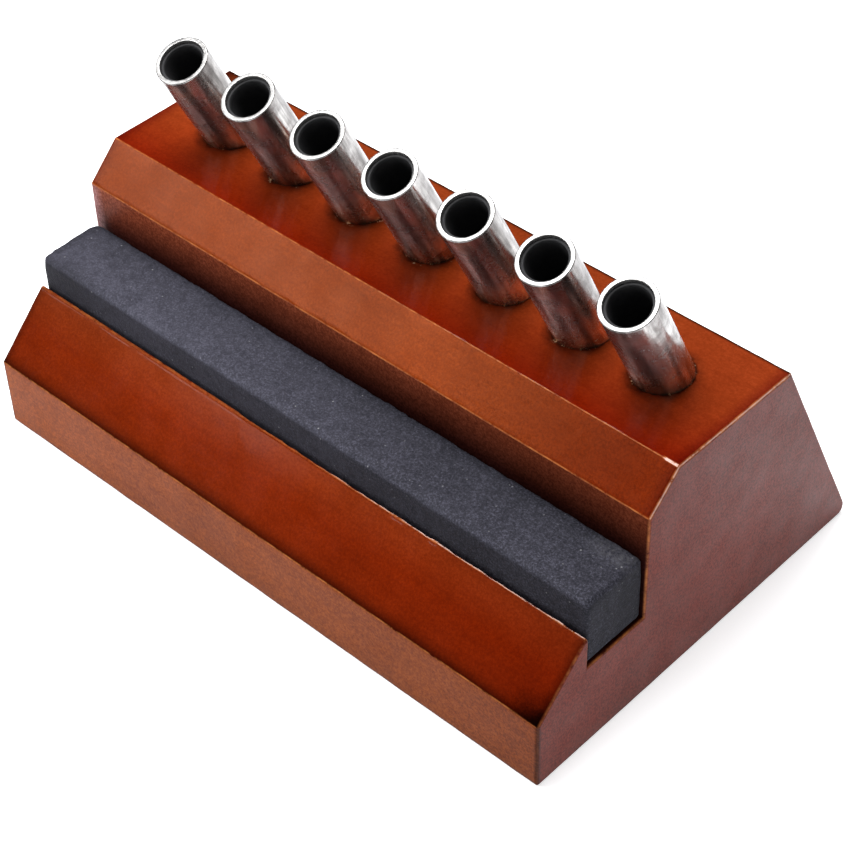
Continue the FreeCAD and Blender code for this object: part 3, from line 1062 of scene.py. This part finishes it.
wood = wood_material()
steel = steel_material()
lining = sleeve_material()
stone = stone_material()
build_block(wood)
for n in range(1, 8):
    build_tube(n, steel)
    build_sleeve(n, lining)
build_bar(stone)


# ---------------------------------------------------------------- floor, light, camera

def build_floor():
    span = 3.0
    data = bpy.data.meshes.new("floor")
    rim = [(-span, -span, 0), (span, -span, 0), (span, span, 0), (-span, span, 0)]
    data.from_pydata(rim, [], [(0, 1, 2, 3)])
    floor = bpy.data.objects.new("floor", data)
    bpy.context.scene.collection.objects.link(floor)
    m = Nodes("pale_floor")
    p = m.point()
    cloud = m.fit(m.noise(p, 12, 2), 0.3, 0.7)
    m.put("Base Color", m.mix(cloud, (0.80, 0.815, 0.845), (0.82, 0.835, 0.865)))
    m.put("Roughness", 0.9)
    m.put("Specular IOR Level", 0.0)
    m.put("Emission Color", (1.0, 1.0, 1.0, 1.0))
    m.put("Emission Strength", 0.72)
    data.materials.append(m.material)
    floor.location.z = -0.05 * MM
    floor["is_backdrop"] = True


def build_world():
    """Dark studio above, a bright backdrop low down behind and to the right."""
    world = bpy.data.worlds.new("studio")
    bpy.context.scene.world = world
    world.use_nodes = True
    tree = world.node_tree
    tree.nodes.clear()
    add, link = tree.nodes.new, tree.links.new
    out = add("ShaderNodeOutputWorld")
    back = add("ShaderNodeBackground")
    co = add("ShaderNodeTexCoord")
    split = add("ShaderNodeSeparateXYZ")
    link(co.outputs["Generated"], split.inputs[0])
    low = add("ShaderNodeMapRange")
    low.interpolation_type = "SMOOTHSTEP"
    for name, value in (("From Min", 0.42), ("From Max", 0.16), ("To Min", 0.0), ("To Max", 1.0)):
        low.inputs[name].default_value = value
    link(split.outputs[2], low.inputs["Value"])
    lean_right = add("ShaderNodeMath")
    lean_right.operation = "ADD"
    link(split.outputs[0], lean_right.inputs[0])
    link(split.outputs[1], lean_right.inputs[1])
    side = add("ShaderNodeMapRange")
    side.interpolation_type = "SMOOTHSTEP"
    for name, value in (("From Min", -0.4), ("From Max", 0.45), ("To Min", 0.08), ("To Max", 1.0)):
        side.inputs[name].default_value = value
    link(lean_right.outputs[0], side.inputs["Value"])
    band = add("ShaderNodeMath")
    band.operation = "MULTIPLY"
    link(low.outputs[0], band.inputs[0])
    link(side.outputs[0], band.inputs[1])
    glow = add("ShaderNodeMapRange")
    for name, value in (("From Min", 0.0), ("From Max", 1.0), ("To Min", 0.09), ("To Max", 1.25)):
        glow.inputs[name].default_value = value
    link(band.outputs[0], glow.inputs["Value"])
    link(glow.outputs[0], back.inputs["Strength"])
    link(back.outputs[0], out.inputs[0])


def area_light(name, direction, distance, width, height, power, aim=(0, 0, 0.03)):
    data = bpy.data.lights.new(name, "AREA")
    data.shape = "RECTANGLE"
    data.size, data.size_y = width, height
    data.energy = power
    lamp = bpy.data.objects.new(name, data)
    bpy.context.scene.collection.objects.link(lamp)
    d = Vector(direction).normalized()
    lamp.location = Vector(aim) + d * distance
    lamp.rotation_euler = d.to_track_quat("Z", "Y").to_euler()


def polar(azimuth, elevation):
    a, e = math.radians(azimuth), math.radians(elevation)
    return (math.cos(a) * math.cos(e), math.sin(a) * math.cos(e), math.sin(e))


build_floor()
build_world()
area_light("softbox_left", polar(-141, 38), 0.70, 0.31, 0.26, 2.7)
area_light("overhead", polar(178, 76), 1.2, 0.8, 0.8, 22)


def build_camera():
    """Seen from the front right, above; the pose comes from the angles of the edges in the view."""
    azimuth, elevation, roll = math.radians(44.282), math.radians(42.797), math.radians(-1.888)
    target = Vector((22.9, -21.2, 40)) * MM
    distance = 449.5 * MM
    level = Vector((math.sin(azimuth), -math.cos(azimuth), 0)) * math.cos(elevation)
    back = level + Vector((0, 0, math.sin(elevation)))
    forward = -back
    right0 = forward.cross(Vector((0, 0, 1))).normalized()
    down0 = forward.cross(right0)
    c, s = math.cos(roll), math.sin(roll)
    right = c * right0 - s * down0
    down = s * right0 + c * down0
    data = bpy.data.cameras.new("camera")
    data.sensor_width = 36
    data.lens = 95.77
    camera = bpy.data.objects.new("camera", data)
    bpy.context.scene.collection.objects.link(camera)
    spin = Matrix((right, -down, back)).transposed().to_4x4()
    camera.matrix_world = Matrix.Translation(target + back * distance) @ spin
    bpy.context.scene.camera = camera


build_camera()
bpy.context.scene.view_settings.view_transform = "Standard"

{"frame": plain(start_bounds), "visual": plain(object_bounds())}
